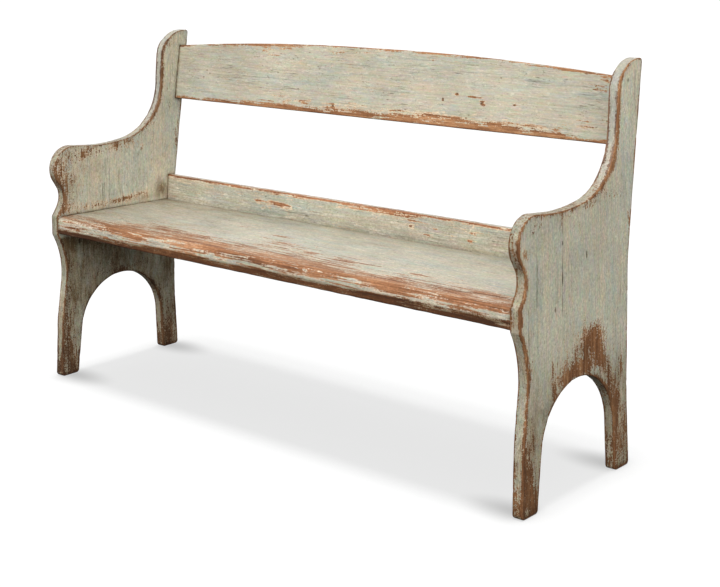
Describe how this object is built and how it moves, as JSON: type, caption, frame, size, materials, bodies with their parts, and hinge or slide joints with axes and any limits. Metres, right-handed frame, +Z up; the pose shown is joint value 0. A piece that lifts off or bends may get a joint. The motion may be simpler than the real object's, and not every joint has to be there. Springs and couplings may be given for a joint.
{
  "type": "church pew",
  "caption": "Painted wooden pew: shaped end panels with arched feet carry a housed seat board, a low back rail and an arched crest rail leaning back.",
  "frame": {"origin": "on the floor under the middle of the bounding box", "axes": "+X along the bench, to the right seen from the front; -Y towards the front of the seat; +Z up"},
  "size_m": [1.5494, 0.4826, 0.9143],
  "materials": {
    "painted_wood": "chalky sage green paint over a cream undercoat, rubbed through to brown pine at the edges",
    "bare_wood": "unpainted pine and beech, oiled by age",
    "screw_steel": "dull steel"
  },
  "bodies": {
    "root": {"left_end_front_board": "painted_wood", "left_end_rear_board": "painted_wood", "right_end_front_board": "painted_wood", "right_end_rear_board": "painted_wood", "seat_board": "painted_wood", "lower_back_rail": "painted_wood", "crest_rail": "painted_wood", "left_seat_cleat": "painted_wood", "right_seat_cleat": "painted_wood", "crest_rail_dowels": "bare_wood", "lower_rail_dowels": "bare_wood", "cleat_to_end_screws": "screw_steel", "cleat_to_seat_screws": "screw_steel", "rail_to_seat_screws": "screw_steel", "rail_screw_plugs": "painted_wood"}
  },
  "joints": []
}
